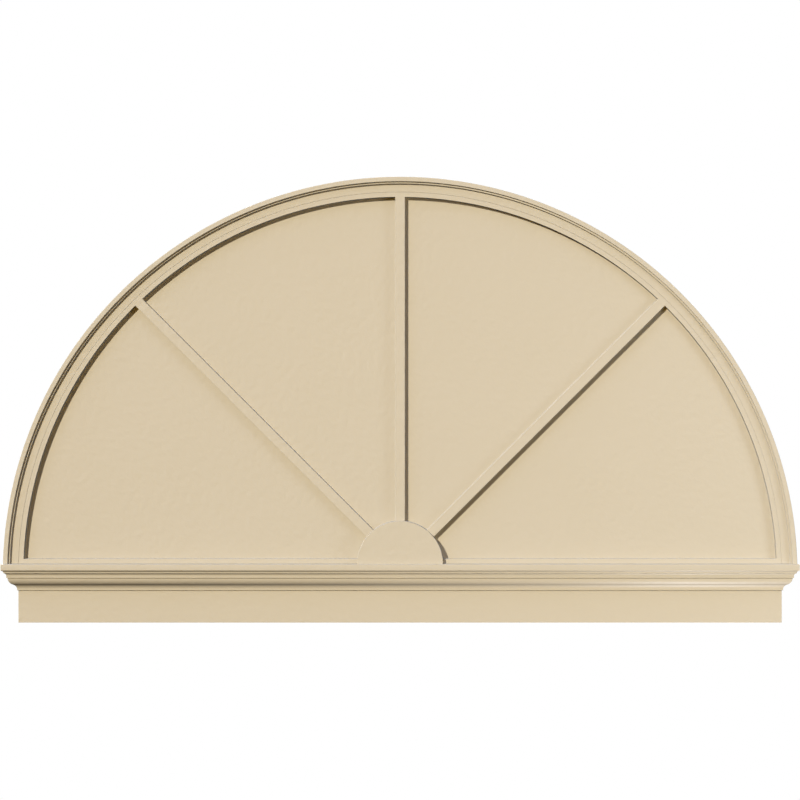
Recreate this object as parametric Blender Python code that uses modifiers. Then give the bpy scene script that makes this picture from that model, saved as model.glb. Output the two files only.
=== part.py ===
# Half round pediment with a sunburst panel, a stepped arch moulding and a bottom trim.
# Metres, +Z up. The back lies on the wall plane Y = 0, the front faces -Y, and the origin is
# the centre of the arch's circle on that plane.

import math

import bmesh
import bpy

NAME = "half_round_pediment"

# Fit between pieces that touch
JOINT_GAP = 0.0003

# Arch moulding, from its outer side inwards; depths are measured out from the wall
ARCH_OUTER_RADIUS = 0.9115
OUTER_FILLET_WIDTH = 0.0106
MIDDLE_BAND_WIDTH = 0.0048
ARCH_FACE_WIDTH = 0.0191
FACE_DEPTH = 0.0381
MIDDLE_BAND_RISE = 0.0053
OUTER_FILLET_RISE = 0.0047

# Sunburst panel; the ribs, border and rail share the arch's face depth
RELIEF = 0.0127
BORDER_WIDTH = 0.0111
RAIL_HEIGHT = 0.0111
RIB_WIDTH = 0.0222
RIB_COUNT = 3
HUB_RADIUS = 0.0984
HUB_RISE = 0.0127

# Bottom trim; its top lies above the arch's centre, and its nose runs past the arch
TRIM_TOP = 0.0232
NOSE_OVERHANG = 0.0029
FRIEZE_DEPTH = 0.0254
FRIEZE_HEIGHT = 0.0745

# Members of the bottom trim from the frieze up: how high each is, how far it steps or
# reaches out, and by how many degrees a cove turns
NECK_HEIGHT = 0.0040
NECK_STEP = 0.0035
OGEE_HOLLOW_HEIGHT = 0.0098
OGEE_HOLLOW_REACH = 0.0072
OGEE_ROUND_HEIGHT = 0.0163
OGEE_ROUND_REACH = 0.0102
BAND_HEIGHT = 0.0058
BAND_STEP = 0.0031
LOWER_COVE_HEIGHT = 0.0053
LOWER_COVE_REACH = 0.0047
LOWER_COVE_TURN = 60
LIST_HEIGHT = 0.0018
LIST_STEP = 0.0008
UPPER_COVE_HEIGHT = 0.0036
UPPER_COVE_REACH = 0.0024
UPPER_COVE_TURN = 20
NOSE_STEP = 0.0003
NOSE_HEIGHT = 0.0156
NOSE_ROUNDING = 0.0015
NOSE_LOWER_ROUNDING = 0.0030

# Fineness of the facets
RING_FACETS = 208
HUB_FACETS = 72
COVE_FACETS = 5
OGEE_FACETS = 8
NOSE_FACETS = 5

# Sizes that follow
MIDDLE_BAND_DEPTH = FACE_DEPTH + MIDDLE_BAND_RISE
OUTER_FILLET_DEPTH = MIDDLE_BAND_DEPTH + OUTER_FILLET_RISE
OUTER_FILLET_INNER = ARCH_OUTER_RADIUS - OUTER_FILLET_WIDTH
MIDDLE_BAND_INNER = OUTER_FILLET_INNER - MIDDLE_BAND_WIDTH
ARCH_INNER_RADIUS = MIDDLE_BAND_INNER - ARCH_FACE_WIDTH
PANEL_RADIUS = ARCH_INNER_RADIUS - JOINT_GAP
FIELD_RADIUS = PANEL_RADIUS - BORDER_WIDTH
FIELD_DEPTH = FACE_DEPTH - RELIEF
HUB_DEPTH = FACE_DEPTH + HUB_RISE
STANDING_HEIGHT = TRIM_TOP + JOINT_GAP
NOSE_HALF_LENGTH = ARCH_OUTER_RADIUS + NOSE_OVERHANG

# How far a cutter runs past what it cuts
CUTTER_MARGIN = 0.02

# Primer: colour in linear light, roughness
PRIMER_COLOR = (0.69, 0.565, 0.36)
PRIMER_ROUGHNESS = 0.5


def clear_scene():
    for old in list(bpy.data.objects):
        bpy.data.objects.remove(old, do_unlink=True)


def new_collection(name):
    collection = bpy.data.collections.new(name)
    bpy.context.scene.collection.children.link(collection)
    return collection


def move_to(obj, collection):
    for old in list(obj.users_collection):
        old.objects.unlink(obj)
    collection.objects.link(obj)


def primer_material(name):
    material = bpy.data.materials.new(name)
    material.use_nodes = True
    shader = material.node_tree.nodes["Principled BSDF"]
    shader.inputs["Base Color"].default_value = (*PRIMER_COLOR, 1.0)
    shader.inputs["Roughness"].default_value = PRIMER_ROUGHNESS
    shader.inputs["Metallic"].default_value = 0.0
    return material


# The wall plane: its X runs along the wall, its Y points up and its Z out of the wall

def add_wall_plane(collection):
    wall = bpy.data.objects.new("wall_plane", None)
    wall.rotation_euler = (math.radians(90), 0, 0)
    collection.objects.link(wall)
    return wall


def add_disc(name, collection, wall, radius, back, front, facets, up=0.0):
    """A cylinder on the wall, from one depth to another, its centre raised by up."""
    bpy.ops.mesh.primitive_cylinder_add(vertices=facets, radius=radius, depth=front - back)
    disc = bpy.context.object
    disc.name = name
    disc.parent = wall
    disc.location = (0, up, (back + front) / 2)
    move_to(disc, collection)
    return disc


def add_box(name, collection, wall, low, high):
    """A box on the wall between two corners, each given as along, up and out."""
    bpy.ops.mesh.primitive_cube_add(size=1)
    box = bpy.context.object
    box.name = name
    box.scale = [top - bottom for bottom, top in zip(low, high)]
    bpy.ops.object.transform_apply(location=False, rotation=False, scale=True)
    box.parent = wall
    box.location = [(bottom + top) / 2 for bottom, top in zip(low, high)]
    move_to(box, collection)
    return box


def mark_cutter(obj):
    obj.hide_render = True
    obj.display_type = "WIRE"
    return obj


def combine(obj, other, operation):
    modifier = obj.modifiers.new(operation.lower() + "_" + other.name, "BOOLEAN")
    modifier.operation = operation
    modifier.solver = "EXACT"
    modifier.object = other


def finish(obj, material, collection):
    """Apply the modifiers, weld the seams, shade the round faces and give the material."""
    evaluated = obj.evaluated_get(bpy.context.evaluated_depsgraph_get())
    mesh = bpy.data.meshes.new_from_object(evaluated)
    shape = bmesh.new()
    shape.from_mesh(mesh)
    bmesh.ops.remove_doubles(shape, verts=shape.verts, dist=1e-6)
    bmesh.ops.recalc_face_normals(shape, faces=shape.faces)
    shape.to_mesh(mesh)
    shape.free()
    obj.modifiers.clear()
    obj.data = mesh
    mesh.materials.clear()
    mesh.materials.append(material)
    mesh.shade_smooth()
    mesh.set_sharp_from_angle(angle=math.radians(30))
    move_to(obj, collection)


def add_footing(cutters, wall):
    """The space below the bottom trim's top, where the round pieces are cut off flat."""
    reach = ARCH_OUTER_RADIUS + CUTTER_MARGIN
    front = max(OUTER_FILLET_DEPTH, HUB_DEPTH) + CUTTER_MARGIN
    low = (-reach, -reach, -CUTTER_MARGIN)
    high = (reach, STANDING_HEIGHT, front)
    return mark_cutter(add_box("footing", cutters, wall, low, high))


# Sunburst panel: one casting with its border, rail, ribs and hub in relief

def add_field_void(cutters, wall):
    """The recessed fields: a disc of space, less the rail and the ribs that cross it."""
    front = FACE_DEPTH + CUTTER_MARGIN
    void = add_disc("field_void", cutters, wall, FIELD_RADIUS, FIELD_DEPTH, front, RING_FACETS)
    reach = FIELD_RADIUS + CUTTER_MARGIN
    back = FIELD_DEPTH - CUTTER_MARGIN / 2
    past_front = front + CUTTER_MARGIN
    rail_low = (-reach, -reach, back)
    rail_high = (reach, STANDING_HEIGHT + RAIL_HEIGHT, past_front)
    rail = add_box("rail", cutters, wall, rail_low, rail_high)
    combine(void, mark_cutter(rail), "DIFFERENCE")
    for index in range(RIB_COUNT):
        rib_low = (0, -RIB_WIDTH / 2, back)
        rib_high = (reach, RIB_WIDTH / 2, past_front)
        rib = add_box("rib_%d" % (index + 1), cutters, wall, rib_low, rib_high)
        angle = math.pi * (index + 1) / (RIB_COUNT + 1)
        along = reach / 2
        rib.rotation_euler = (0, 0, angle)
        rib.location.x = along * math.cos(angle)
        rib.location.y = STANDING_HEIGHT + along * math.sin(angle)
        combine(void, mark_cutter(rib), "DIFFERENCE")
    return mark_cutter(void)


def build_panel(parts, cutters, wall, footing):
    panel = add_disc("sunburst_panel", parts, wall, PANEL_RADIUS, 0, FACE_DEPTH, RING_FACETS)
    combine(panel, add_field_void(cutters, wall), "DIFFERENCE")
    hub_root = FIELD_DEPTH / 2
    hub = add_disc("hub", cutters, wall, HUB_RADIUS, hub_root, HUB_DEPTH, HUB_FACETS, STANDING_HEIGHT)
    combine(panel, mark_cutter(hub), "UNION")
    combine(panel, footing, "DIFFERENCE")
    bpy.context.view_layer.update()
    finish(panel, primer_material("primed_panel"), parts)


# Arch moulding: a stepped section turned about the arch's centre and cut off at its feet

def build_arch(parts, cutters, wall, footing):
    section = [
        (ARCH_OUTER_RADIUS, OUTER_FILLET_DEPTH),
        (ARCH_OUTER_RADIUS, 0),
        (ARCH_INNER_RADIUS, 0),
        (ARCH_INNER_RADIUS, FACE_DEPTH),
        (MIDDLE_BAND_INNER, FACE_DEPTH),
        (MIDDLE_BAND_INNER, MIDDLE_BAND_DEPTH),
        (OUTER_FILLET_INNER, MIDDLE_BAND_DEPTH),
        (OUTER_FILLET_INNER, OUTER_FILLET_DEPTH),
    ]
    points = [(radius, 0, out) for radius, out in section]
    edges = [(i, (i + 1) % len(points)) for i in range(len(points))]
    mesh = bpy.data.meshes.new("arch_moulding")
    mesh.from_pydata(points, edges, [])
    arch = bpy.data.objects.new("arch_moulding", mesh)
    arch.parent = wall
    parts.objects.link(arch)
    turn = arch.modifiers.new("turn", "SCREW")
    turn.axis = "Z"
    turn.angle = math.tau
    turn.steps = RING_FACETS
    turn.render_steps = RING_FACETS
    turn.use_merge_vertices = True
    turn.merge_threshold = 0.0001
    combine(arch, footing, "DIFFERENCE")
    bpy.context.view_layer.update()
    finish(arch, primer_material("primed_arch"), parts)


# Bottom trim: a cornice and frieze whose members return round both ends to the wall

def curve(start_drop, start_out, height, reach, turn, facets):
    """An arc that leans in as it goes down: a positive turn is hollow, a negative one round."""
    chord = math.hypot(height, reach)
    lean = math.atan2(reach, height)
    points = [(start_drop, start_out)]
    for i in range(1, facets + 1):
        share = i / facets
        walked = chord * math.sin(turn * share / 2) / math.sin(turn / 2)
        angle = lean + turn * (1 - share) / 2
        points.append((start_drop + walked * math.cos(angle), start_out - walked * math.sin(angle)))
    return points


def ogee(start_drop, start_out):
    """A double curve: a round that starts upright, then a hollow that goes on in its slope."""
    slope = 2 * math.atan2(OGEE_ROUND_REACH, OGEE_ROUND_HEIGHT)
    hollow_turn = 2 * (slope - math.atan2(OGEE_HOLLOW_REACH, OGEE_HOLLOW_HEIGHT))
    points = curve(start_drop, start_out, OGEE_ROUND_HEIGHT, OGEE_ROUND_REACH, -slope, OGEE_FACETS)
    meet_drop = start_drop + OGEE_ROUND_HEIGHT
    meet_out = start_out - OGEE_ROUND_REACH
    lower = curve(meet_drop, meet_out, OGEE_HOLLOW_HEIGHT, OGEE_HOLLOW_REACH, hollow_turn, OGEE_FACETS)
    return points + lower[1:]


def rounding(edge_drop, edge_out, radius, upper):
    """A quarter round on a square edge: an upper one ends upright, a lower one starts so."""
    angles = [math.pi / 2 * i / NOSE_FACETS for i in range(NOSE_FACETS + 1)]
    if upper:
        angles.reverse()
    down = 1 if upper else -1
    return [
        (edge_drop + down * radius * (1 - math.sin(angle)), edge_out - radius * (1 - math.cos(angle)))
        for angle in angles
    ]


def trim_members():
    """The trim's section from its top down, as (drop, distance out from the frieze)."""
    ogee_out = NECK_STEP + OGEE_HOLLOW_REACH + OGEE_ROUND_REACH
    band_out = ogee_out + BAND_STEP
    list_out = band_out + LOWER_COVE_REACH + LIST_STEP
    cove_out = list_out + UPPER_COVE_REACH
    nose_out = cove_out + NOSE_STEP + NOSE_LOWER_ROUNDING
    section = rounding(0, nose_out, NOSE_ROUNDING, upper=True)
    drop = NOSE_HEIGHT
    section += rounding(drop, nose_out, NOSE_LOWER_ROUNDING, upper=False)
    upper_turn = math.radians(UPPER_COVE_TURN)
    section += curve(drop, cove_out, UPPER_COVE_HEIGHT, UPPER_COVE_REACH, upper_turn, COVE_FACETS)
    drop += UPPER_COVE_HEIGHT + LIST_HEIGHT
    section.append((drop, list_out))
    lower_turn = math.radians(LOWER_COVE_TURN)
    cove_top = list_out - LIST_STEP
    section += curve(drop, cove_top, LOWER_COVE_HEIGHT, LOWER_COVE_REACH, lower_turn, COVE_FACETS)
    drop += LOWER_COVE_HEIGHT + BAND_HEIGHT
    section.append((drop, band_out))
    section += ogee(drop, ogee_out)
    drop += OGEE_ROUND_HEIGHT + OGEE_HOLLOW_HEIGHT + NECK_HEIGHT
    section.append((drop, NECK_STEP))
    section.append((drop, 0))
    drop += FRIEZE_HEIGHT
    section.append((drop, 0))
    return section, nose_out


def build_trim(parts):
    section, nose_out = trim_members()
    frieze_half_length = NOSE_HALF_LENGTH - nose_out

    def set_outline(verts, drop, out):
        for vert in verts:
            at_front = vert.co.y < 0
            vert.co.x = math.copysign(frieze_half_length + out, vert.co.x)
            vert.co.y = -(FRIEZE_DEPTH + out) if at_front else 0
            vert.co.z = -drop

    shape = bmesh.new()
    bmesh.ops.create_grid(shape, x_segments=1, y_segments=1, size=1)
    set_outline(shape.verts, *section[0])
    rim = shape.edges[:]
    for drop, out in section[1:]:
        grown = bmesh.ops.extrude_edge_only(shape, edges=rim)["geom"]
        rim = [item for item in grown if isinstance(item, bmesh.types.BMEdge)]
        set_outline([item for item in grown if isinstance(item, bmesh.types.BMVert)], drop, out)
    bmesh.ops.contextual_create(shape, geom=rim)
    bmesh.ops.recalc_face_normals(shape, faces=shape.faces)
    mesh = bpy.data.meshes.new("bottom_trim")
    shape.to_mesh(mesh)
    shape.free()
    trim = bpy.data.objects.new("bottom_trim", mesh)
    trim.location = (0, 0, TRIM_TOP)
    parts.objects.link(trim)
    bpy.context.view_layer.update()
    finish(trim, primer_material("primed_trim"), parts)


def main():
    clear_scene()
    parts = new_collection(NAME)
    cutters = new_collection("cutters")
    wall = add_wall_plane(parts)
    bpy.context.view_layer.update()
    footing = add_footing(cutters, wall)
    build_panel(parts, cutters, wall, footing)
    build_arch(parts, cutters, wall, footing)
    build_trim(parts)


main()
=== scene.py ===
# Half round pediment in primed, moulded polyurethane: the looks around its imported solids.
# Metres, +Z up. The back lies on the wall plane Y = 0, the front faces -Y, and the centre of
# the arch's circle is the origin.

import math

import bmesh
import bpy
import numpy as np
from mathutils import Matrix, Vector


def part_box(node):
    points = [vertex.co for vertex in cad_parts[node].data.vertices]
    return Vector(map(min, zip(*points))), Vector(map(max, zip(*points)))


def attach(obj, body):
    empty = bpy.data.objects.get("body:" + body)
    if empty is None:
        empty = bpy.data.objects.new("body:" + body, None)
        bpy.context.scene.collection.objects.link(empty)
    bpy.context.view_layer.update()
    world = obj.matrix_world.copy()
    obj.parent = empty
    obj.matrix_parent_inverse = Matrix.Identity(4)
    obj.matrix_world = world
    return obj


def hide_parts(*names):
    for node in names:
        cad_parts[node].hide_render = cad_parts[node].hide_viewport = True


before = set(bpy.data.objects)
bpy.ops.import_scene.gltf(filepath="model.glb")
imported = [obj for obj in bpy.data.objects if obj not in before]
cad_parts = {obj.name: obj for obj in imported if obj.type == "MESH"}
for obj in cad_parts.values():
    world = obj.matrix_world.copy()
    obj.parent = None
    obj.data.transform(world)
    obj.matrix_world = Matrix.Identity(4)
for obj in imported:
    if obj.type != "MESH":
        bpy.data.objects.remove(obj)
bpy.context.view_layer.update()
print("frame loaded:", sorted(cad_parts))

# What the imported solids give: how far each piece reaches, and where the round pieces stand
archLow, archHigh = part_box("arch_moulding")
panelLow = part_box("sunburst_panel")[0]
trimLow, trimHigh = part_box("bottom_trim")
jointGap = 0.00002  # what is left of the joints once the pieces are glued up
footHeight = trimHigh.z + jointGap


# sRGB hex to linear light
def hexToLinear(hexColour):
    values = np.array([int(hexColour[i:i + 2], 16) for i in (1, 3, 5)]) / 255
    linear = np.where(values <= 0.04045, values / 12.92, ((values + 0.055) / 1.055) ** 2.4)
    return tuple(float(value) for value in linear)


# A node with its settings; each input is a value, or the output that feeds it
def addNode(tree, kind, inputs, **settings):
    node = tree.nodes.new(kind)
    for name, value in settings.items():
        setattr(node, name, value)
    for name, value in inputs.items():
        if isinstance(value, bpy.types.NodeSocket):
            tree.links.new(value, node.inputs[name])
        else:
            node.inputs[name].default_value = value
    return node


# A line of complex points from a start through runs, each given as its end and its turn.
# A turning run is an arc: its chord is walked by sin(turn w / 2) / sin(turn / 2) for w from
# 0 to 1, while its direction swings from half the turn behind the chord's to the chord's.
def drawRuns(start, runs, steps):
    w = np.arange(1, steps + 1) / steps
    pieces = [np.array([start], complex)]
    for end, turn in runs:
        if turn:
            walked = np.sin(turn * w / 2) / np.sin(turn / 2) * np.exp(0.5j * turn * (w - 1))
            pieces.append(start + (end - start) * walked)
        else:
            pieces.append(np.array([end], complex))
        start = end
    return np.concatenate(pieces)


# Eases the corners of a line of complex points. Each corner that turns by more than
# sharpTurn becomes an arc that touches both its sides, radius * tan(turn / 2) from the
# corner and no more than mostOfSide of a side, with one more point outside each end, at
# pastEnd times that reach, so that the flats stay flat shaded.
def easeCorners(points, radius, steps=3, sharpTurn=math.radians(20), mostOfSide=0.36, pastEnd=1.35):
    points = np.asarray(points, complex)
    sides = np.diff(points)
    lengths = np.abs(sides)
    heading = sides / lengths
    arriving, leaving, corner = heading[:-1], heading[1:], points[1:-1]
    turn = np.angle(leaving / arriving)
    room = mostOfSide * np.minimum(lengths[:-1], lengths[1:])
    reach = np.where(np.abs(turn) > sharpTurn, np.minimum(radius * np.tan(np.abs(turn) / 2), room), 0)
    start = corner - arriving * reach
    spread = reach / np.tan(np.maximum(np.abs(turn), sharpTurn) / 2)
    centre = start + 1j * np.sign(turn) * spread * arriving
    share = np.linspace(0, 1, steps + 1)[:, None]
    arc = centre + (start - centre) * np.exp(1j * turn * share)
    before = corner - pastEnd * arriving * reach
    after = corner + pastEnd * leaving * reach
    eased = np.vstack((before, np.where(reach > 0, arc, corner), after)).T.ravel()
    line = np.concatenate((points[:1], eased, points[-1:]))
    return line[np.append(True, np.abs(np.diff(line)) > 1e-7)]


# Quads over a grid of vertex numbers; a closed grid joins its last column to its first
def gridQuads(index, closed=False):
    if closed:
        index = np.column_stack((index, index[:, 0]))
    corners = index[:-1, :-1], index[:-1, 1:], index[1:, 1:], index[1:, :-1]
    return np.stack(corners, axis=-1).reshape(-1, 4).tolist()


# Rings of points, each closed on itself, with quads between them and a flat face on each end
def shellFromRings(x, y, z):
    points = np.stack(np.broadcast_arrays(x, y, z), axis=-1)
    index = np.arange(points.shape[0] * points.shape[1]).reshape(points.shape[:2])
    faces = gridQuads(index, closed=True) + [index[0].tolist(), index[-1].tolist()]
    return points.reshape(-1, 3), faces


# A mesh object: seams merged, open edges carried back to the wall, faces turned outwards
def makeMesh(name, points, faces, material, sharpAngle=math.radians(35)):
    mesh = bpy.data.meshes.new(name)
    mesh.from_pydata(points.tolist(), [], faces)
    shape = bmesh.new()
    shape.from_mesh(mesh)
    bmesh.ops.remove_doubles(shape, verts=shape.verts, dist=2e-6)
    rim = [edge for edge in shape.edges if edge.is_boundary]
    if rim:
        grown = bmesh.ops.extrude_edge_only(shape, edges=rim)["geom"]
        for vertex in (item for item in grown if isinstance(item, bmesh.types.BMVert)):
            vertex.co.y = 0
        backRim = [item for item in grown if isinstance(item, bmesh.types.BMEdge)]
        bmesh.ops.contextual_create(shape, geom=backRim)
    bmesh.ops.recalc_face_normals(shape, faces=shape.faces)
    shape.to_mesh(mesh)
    shape.free()
    mesh.shade_smooth()
    mesh.set_sharp_from_angle(angle=sharpAngle)
    mesh.materials.append(material)
    piece = bpy.data.objects.new(name, mesh)
    bpy.context.scene.collection.objects.link(piece)
    print(name, "made:", len(mesh.vertices), "points,", len(mesh.polygons), "faces")
    return piece


def takePlaceOf(piece, node):
    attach(piece, "root")
    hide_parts(node)


# Primer on moulded high density polyurethane. The paint lies on the skin of a closed mould:
# a warm buff, nearly even in colour, with a soft eggshell sheen and a faint orange peel
# whose bumps are 7 to 14 mm across and about 0.2 mm high.
primerSettings = {
    "colour": "#dac7a3",
    "paleColour": "#dcc9a6",
    "cloudSize": 0.16,
    "peelSize": 0.014,
    "peelHeight": 0.0006,
    "grainSize": 0.003,
    "grainHeight": 0.000023,
    "roughness": 0.5,
    "roughnessSpread": 0.05,
}


def primedPolyurethane(name):
    look = primerSettings
    material = bpy.data.materials.new(name)
    material.use_nodes = True
    tree = material.node_tree
    shader = tree.nodes["Principled BSDF"]
    place = addNode(tree, "ShaderNodeTexCoord", {}).outputs["Object"]
    clouds = addNode(
        tree, "ShaderNodeTexNoise",
        {"Vector": place, "Scale": 1 / look["cloudSize"], "Detail": 2.0, "Roughness": 0.5},
    ).outputs["Fac"]
    colour = (*hexToLinear(look["colour"]), 1)
    paleColour = (*hexToLinear(look["paleColour"]), 1)
    tint = addNode(
        tree, "ShaderNodeMix", {"Factor": clouds, 6: colour, 7: paleColour}, data_type="RGBA",
    ).outputs[2]
    peel = addNode(
        tree, "ShaderNodeTexNoise",
        {"Vector": place, "Scale": 1 / look["peelSize"], "Detail": 1.0, "Roughness": 0.4},
    ).outputs["Fac"]
    grain = addNode(
        tree, "ShaderNodeTexNoise",
        {"Vector": place, "Scale": 1 / look["grainSize"], "Detail": 1.0, "Roughness": 0.5},
    ).outputs["Fac"]
    grainBump = addNode(
        tree, "ShaderNodeBump",
        {"Height": grain, "Strength": 1.0, "Distance": look["grainHeight"]},
    ).outputs["Normal"]
    peelBump = addNode(
        tree, "ShaderNodeBump",
        {"Height": peel, "Strength": 1.0, "Distance": look["peelHeight"], "Normal": grainBump},
    ).outputs["Normal"]
    rough = addNode(
        tree, "ShaderNodeMapRange",
        {
            "Value": peel,
            "To Min": look["roughness"] - look["roughnessSpread"],
            "To Max": look["roughness"] + look["roughnessSpread"],
        },
    ).outputs["Result"]
    tree.links.new(tint, shader.inputs["Base Color"])
    tree.links.new(rough, shader.inputs["Roughness"])
    tree.links.new(peelBump, shader.inputs["Normal"])
    shader.inputs["IOR"].default_value = 1.48  # acrylic primer
    shader.inputs["Metallic"].default_value = 0.0
    return material


# Arch moulding: a stepped section, highest at its outer side
archSettings = {
    "filletWidth": 0.0106,
    "bandWidth": 0.0048,
    "faceWidth": 0.0191,
    "filletRise": 0.0047,
    "bandRise": 0.0053,
    "easing": 0.0008,
    "steps": 480,
}
archRadius = archHigh.z
archWidth = archSettings["filletWidth"] + archSettings["bandWidth"] + archSettings["faceWidth"]
archInnerRadius = archRadius - archWidth


# The section turned about the wall's normal: at radius r the angle runs from
# asin(foot / r) to half a turn less that, so that both feet end flat on one level.
def makeArch(material):
    size = archSettings
    top = -archLow.y
    band = top - size["filletRise"]
    face = band - size["bandRise"]
    filletInner = archRadius - size["filletWidth"]
    bandInner = filletInner - size["bandWidth"]
    corners = [
        archRadius, archRadius + 1j * top, filletInner + 1j * top, filletInner + 1j * band,
        bandInner + 1j * band, bandInner + 1j * face, archInnerRadius + 1j * face, archInnerRadius,
    ]
    section = easeCorners(corners, size["easing"])
    radius = section.real
    foot = np.arcsin(footHeight / radius)
    share = np.linspace(0, 1, size["steps"] + 1)[:, None]
    angle = foot + (math.pi - 2 * foot) * share
    points, faces = shellFromRings(radius * np.cos(angle), -section.imag, radius * np.sin(angle))
    return makeMesh("archMoulding", points, faces, material)


# Sunburst panel: recessed fields between ribs, border, rail and hub, all moulded as one
panelSettings = {
    "ribCount": 3,
    "ribHalfWidth": 0.0111,
    "borderWidth": 0.0111,
    "relief": 0.0127,
    "draft": 0.0002,
    "hubRadius": 0.0984,
    "hubRise": 0.0127,
    "easing": 0.0006,
    "fieldSteps": 64,
    "radialSteps": 16,
}


# Each field with half of what surrounds it is one grid. Its lines across are set by an
# angle and a sideways distance from the hub's centre: beside a rib they keep the rib's
# angle, and over the field both change evenly from one rib's to the next's. Its rings are
# circles about the hub near the hub, circles about the arch's centre near the border, and
# even steps between the two. The height is the highest of rib, border and hub there.
def makePanel(material):
    size = panelSettings
    hubTop = -panelLow.y
    face = hubTop - size["hubRise"]
    field = face - size["relief"]
    draft, easing = size["draft"], size["easing"]
    flat = 3 * easing
    half, hubRadius = size["ribHalfWidth"], size["hubRadius"]
    rimRadius = archInnerRadius - jointGap

    ribCorners = [
        1j * face, half + 1j * face, half + draft + 1j * field,
        half + draft + flat + 1j * field,
    ]
    ribSection = easeCorners(ribCorners, easing)
    wall = size["borderWidth"]
    borderCorners = [
        1j * (face - flat), 1j * face, wall + 1j * face, wall + draft + 1j * field,
        wall + draft + flat + 1j * field,
    ]
    borderSection = easeCorners(borderCorners, easing)
    faceShare = size["hubRise"] / (size["hubRise"] + size["relief"])
    hubCorners = [
        hubRadius - flat + 1j * hubTop, hubRadius + 1j * hubTop,
        hubRadius + draft * faceShare + 1j * face, hubRadius + draft + 1j * field,
        hubRadius + draft + flat + 1j * field,
    ]
    hubSection = easeCorners(hubCorners, easing)

    swing = np.linspace(0, 1, size["fieldSteps"] + 1)[1:-1]
    fieldEdge = ribSection.real[-1]
    aside = np.concatenate((ribSection.real, fieldEdge * (1 - 2 * swing), -ribSection.real[::-1]))
    share = np.concatenate((0 * ribSection.real, swing, 0 * ribSection.real + 1))
    ribHeight = np.concatenate((ribSection.imag, 0 * swing + field, ribSection.imag[::-1]))

    between = np.linspace(0, 1, size["radialSteps"] + 1)[1:-1]
    borderRadius = rimRadius - borderSection.real[::-1]
    inside = np.concatenate((hubSection.imag, 0 * between + field))
    ringHeight = np.concatenate((inside, borderSection.imag[::-1]))
    outerHalf = borderSection.real[::-1] < wall / 2
    rimCap = np.where(outerHalf, borderSection.imag[::-1], hubTop)
    rimHeight = np.concatenate((0 * inside + hubTop, rimCap))

    allPoints, allFaces, hubRim = [], [], []
    sectors = size["ribCount"] + 1
    for sector in range(sectors):
        angle = math.pi * (sector + share) / sectors
        ahead = np.stack((np.cos(angle), np.sin(angle)))
        left = np.stack((-np.sin(angle), np.cos(angle)))
        base = aside * left + np.array([[0], [footHeight]])
        along = (base * ahead).sum(0)
        toHub = np.sqrt(hubSection.real[:, None] ** 2 - aside ** 2)
        toBorder = np.sqrt(borderRadius[:, None] ** 2 - (base ** 2).sum(0) + along ** 2) - along
        first, last = toHub[-1], toBorder[0]
        toField = first + (last - first) * between[:, None]
        distance = np.vstack((toHub, toField, toBorder))
        height = np.minimum(np.maximum(ribHeight, ringHeight[:, None]), rimHeight[:, None])
        x = base[0] + distance * ahead[0]
        z = base[1] + distance * ahead[1]
        index = np.arange(x.size).reshape(x.shape) + sector * x.size
        allPoints.append(np.stack((x, -height, z), axis=-1).reshape(-1, 3))
        allFaces += gridQuads(index)
        hubRim += index[0].tolist() if sector == 0 else index[0][1:].tolist()
    allFaces.append(hubRim)
    return makeMesh("sunburstPanel", np.concatenate(allPoints), allFaces, material)


# Bottom trim: the cornice's members from the nose down, then the frieze; each height is
# down the section, and each step or reach is how far the member comes out or goes in
trimSettings = {
    "noseHeight": 0.0156,
    "noseRounding": 0.0008,
    "noseLowerRounding": 0.0030,
    "noseStep": 0.0003,
    "upperCoveHeight": 0.0036,
    "upperCoveReach": 0.0024,
    "upperCoveTurn": math.radians(20),
    "listHeight": 0.0018,
    "listStep": 0.0008,
    "lowerCoveHeight": 0.0053,
    "lowerCoveReach": 0.0047,
    "lowerCoveTurn": math.radians(60),
    "bandHeight": 0.0058,
    "bandStep": 0.0025,
    "ogeeRoundHeight": 0.0163,
    "ogeeRoundReach": 0.0108,
    "ogeeHollowHeight": 0.0098,
    "ogeeHollowReach": 0.0080,
    "neckHeight": 0.0040,
    "neckStep": 0.0027,
    "easing": 0.0003,
    "cornerSide": 0.01,
    "arcSteps": 8,
}


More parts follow.
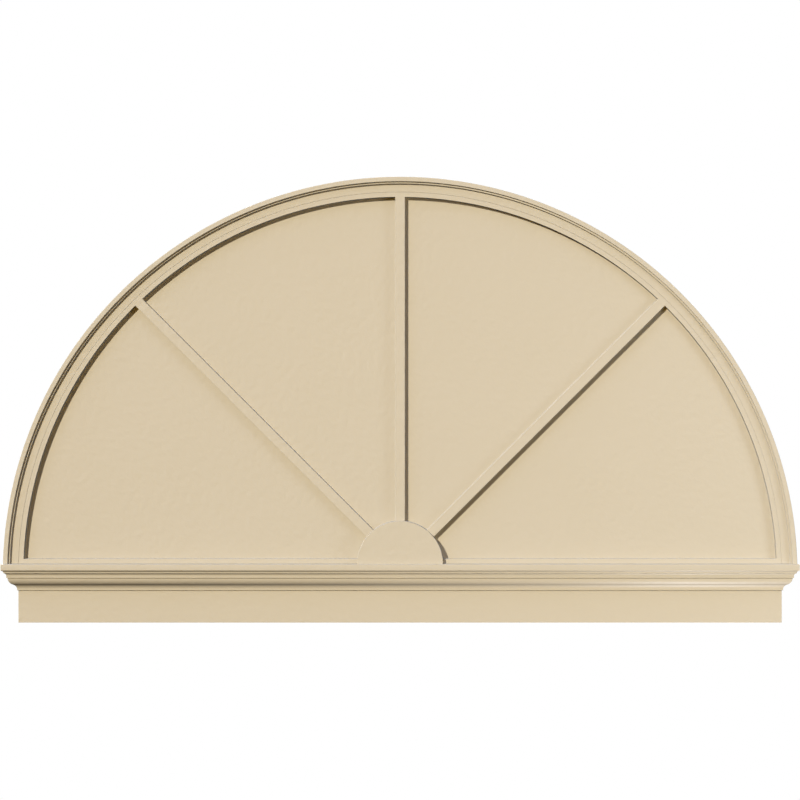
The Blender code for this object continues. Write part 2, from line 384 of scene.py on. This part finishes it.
# The section, as distance out from the frieze and height below the top, walked from the
# top of the nose to the foot of the frieze, is carried round three sides of a plan whose
# sides all stand as far out as the section does there, so that the members mitre.
def makeTrim(material):
    size = trimSettings
    quarter = math.pi / 2
    meetOut = size["neckStep"] + size["ogeeHollowReach"]
    ogeeOut = meetOut + size["ogeeRoundReach"]
    bandOut = ogeeOut + size["bandStep"]
    listOut = bandOut + size["lowerCoveReach"] + size["listStep"]
    coveOut = listOut + size["upperCoveReach"]
    noseOut = coveOut + size["noseStep"] + size["noseLowerRounding"]
    roundTurn = 2 * math.atan2(size["ogeeRoundReach"], size["ogeeRoundHeight"])
    hollowTurn = 2 * (roundTurn - math.atan2(size["ogeeHollowReach"], size["ogeeHollowHeight"]))
    foot = trimHigh.z - trimLow.z

    here = noseOut - size["noseRounding"] + 0j
    runs = [(noseOut - 1j * size["noseRounding"], -quarter)]
    drop = size["noseHeight"]
    runs += [(noseOut - 1j * (drop - size["noseLowerRounding"]), 0)]
    runs += [(noseOut - size["noseLowerRounding"] - 1j * drop, -quarter), (coveOut - 1j * drop, 0)]
    drop += size["upperCoveHeight"]
    runs += [(listOut - 1j * drop, size["upperCoveTurn"])]
    drop += size["listHeight"]
    runs += [(listOut - 1j * drop, 0), (listOut - size["listStep"] - 1j * drop, 0)]
    drop += size["lowerCoveHeight"]
    runs += [(bandOut - 1j * drop, size["lowerCoveTurn"])]
    drop += size["bandHeight"]
    runs += [(bandOut - 1j * drop, 0), (ogeeOut - 1j * drop, 0)]
    drop += size["ogeeRoundHeight"]
    runs += [(meetOut - 1j * drop, -roundTurn)]
    drop += size["ogeeHollowHeight"]
    runs += [(size["neckStep"] - 1j * drop, hollowTurn)]
    drop += size["neckHeight"]
    runs += [(size["neckStep"] - 1j * drop, 0), (-1j * drop, 0), (-1j * foot, 0)]
    line = drawRuns(here, runs, size["arcSteps"])
    inset = 6 * size["easing"]
    line = np.concatenate(([here - inset], line, [-inset - 1j * foot]))
    section = easeCorners(line, size["easing"])

    halfLength = trimHigh.x - noseOut + section.real[:, None]
    depth = -trimLow.y - noseOut + section.real[:, None]
    side = size["cornerSide"]
    turnIn = easeCorners([1j * side, 0, side], size["easing"])[1:-1]
    plan = np.hstack((
        -halfLength + 0j, -halfLength - 1j * depth + turnIn,
        halfLength - 1j * depth - np.conj(turnIn)[::-1], halfLength + 0j,
    ))
    points, faces = shellFromRings(plan.real, plan.imag, trimHigh.z + section.imag[:, None])
    return makeMesh("bottomTrim", points, faces, material)


takePlaceOf(makeArch(primedPolyurethane("primedPolyurethaneArch")), "arch_moulding")
takePlaceOf(makePanel(primedPolyurethane("primedPolyurethanePanel")), "sunburst_panel")
takePlaceOf(makeTrim(primedPolyurethane("primedPolyurethaneTrim")), "bottom_trim")


# Floor: a painted disc well below the part, out of the main camera's view. Its warm paint
# turns a plain pale grey under the cool sky, and its glow softens the shadow that falls on it.
floorSettings = {
    "colour": "#b0a692", "roughness": 0.9, "glow": 0.4,
    "height": -1.2, "radius": 3.2, "forward": -0.4, "steps": 96,
}


def makeFloor():
    size = floorSettings
    material = bpy.data.materials.new("mattFloorPaint")
    material.use_nodes = True
    shader = material.node_tree.nodes["Principled BSDF"]
    shader.inputs["Base Color"].default_value = (*hexToLinear(size["colour"]), 1)
    shader.inputs["Roughness"].default_value = size["roughness"]
    shader.inputs["Emission Color"].default_value = (1, 1, 1, 1)
    shader.inputs["Emission Strength"].default_value = size["glow"]
    angle = np.linspace(0, 2 * math.pi, size["steps"], endpoint=False)
    x, y = size["radius"] * np.cos(angle), size["radius"] * np.sin(angle) + size["forward"]
    points = np.stack((x, y, 0 * x + size["height"]), axis=-1)
    mesh = bpy.data.meshes.new("floor")
    mesh.from_pydata(points.tolist(), [], [list(range(size["steps"]))])
    mesh.materials.append(material)
    floor = bpy.data.objects.new("floor", mesh)
    floor.visible_diffuse = False  # it throws no light back up at the part
    floor.visible_glossy = False
    bpy.context.scene.collection.objects.link(floor)


# Lights: a crisp key from the upper left, a wide cool sky and a fainter light from above, a
# cool fill from the right, a low light under the cornice, a faint warm one from the front
# that opens the shadows, and one behind for the back. Where bounces is 0, a light isn't
# passed on from wall to wall, so that no glow lies beside the walls that it strikes.
lightSettings = {
    "key": {
        "kind": "SUN", "travel": (0.645, 1.0, -0.545), "size": 0.6, "bounces": 0,
        "strength": 2.96, "colour": "#fefffc",
    },
    "sky": {
        "kind": "SUN", "travel": (1.0, 0.25, -1.0), "size": 70, "bounces": 8,
        "strength": 2.4, "colour": "#a9c2ff",
    },
    "above": {
        "kind": "SUN", "travel": (0, 0.3, -1.0), "size": 40, "bounces": 8,
        "strength": 0.81, "colour": "#9fb8ff",
    },
    "front": {
        "kind": "SUN", "travel": (0, 1, 0), "size": 12, "bounces": 0,
        "strength": 0.29, "colour": "#ffd46e",
    },
    "behind": {
        "kind": "SUN", "travel": (0.1, -1.0, -0.25), "size": 40, "bounces": 0,
        "strength": 2.0, "colour": "#ffffff",
    },
    "fill": {
        "kind": "AREA", "place": (2.6, -1.2, 0.4), "aim": (0, 0, 0.4),
        "size": 1.0, "bounces": 8,
        "strength": 20.0, "colour": "#c8dbff",
    },
    "low": {
        "kind": "AREA", "place": (0.82, -0.055, -0.95), "aim": (0.4, -0.045, 0),
        "size": 0.1, "bounces": 0,
        "strength": 8.8, "colour": "#eef2ff",
    },
}


def makeLights():
    for name, look in lightSettings.items():
        light = bpy.data.lights.new(name, look["kind"])
        light.energy = look["strength"]
        light.color = hexToLinear(look["colour"])
        light.cycles.max_bounces = look["bounces"]
        lamp = bpy.data.objects.new(name, light)
        bpy.context.scene.collection.objects.link(lamp)
        if look["kind"] == "SUN":
            light.angle = math.radians(look["size"])
            travel = Vector(look["travel"])
        else:
            light.shape = "DISK"
            light.size = look["size"]
            lamp.location = look["place"]
            travel = Vector(look["aim"]) - lamp.location
        lamp.rotation_euler = travel.to_track_quat("-Z", "Y").to_euler()


# World: white where the camera sees it, and a weak even light on everything else
worldSettings = {"seen": 1.0, "light": 0.012}


def makeWorld():
    world = bpy.data.worlds.new("studio")
    bpy.context.scene.world = world
    world.use_nodes = True
    tree = world.node_tree
    tree.nodes.clear()
    lit = addNode(tree, "ShaderNodeBackground", {"Strength": worldSettings["light"]})
    seen = addNode(tree, "ShaderNodeBackground", {"Strength": worldSettings["seen"]})
    for node in (lit, seen):
        node.inputs["Color"].default_value = (1, 1, 1, 1)
    path = addNode(tree, "ShaderNodeLightPath", {})
    mix = addNode(
        tree, "ShaderNodeMixShader",
        {0: path.outputs["Is Camera Ray"], 1: lit.outputs[0], 2: seen.outputs[0]},
    )
    addNode(tree, "ShaderNodeOutputWorld", {"Surface": mix.outputs[0]})


# Camera: level and square to the wall, a little above the arch's centre
cameraSettings = {"place": (-0.0002, -5.1448, 0.3993), "lens": 100, "sensor": 36}


def makeCamera():
    data = bpy.data.cameras.new("camera")
    data.lens = cameraSettings["lens"]
    data.sensor_width = cameraSettings["sensor"]
    camera = bpy.data.objects.new("camera", data)
    camera.location = cameraSettings["place"]
    camera.rotation_euler = (math.pi / 2, 0, 0)
    bpy.context.scene.collection.objects.link(camera)
    bpy.context.scene.camera = camera


makeFloor()
makeLights()
makeWorld()
makeCamera()
bpy.context.scene.view_settings.view_transform = "Standard"
print("floor, lights and camera are in place")
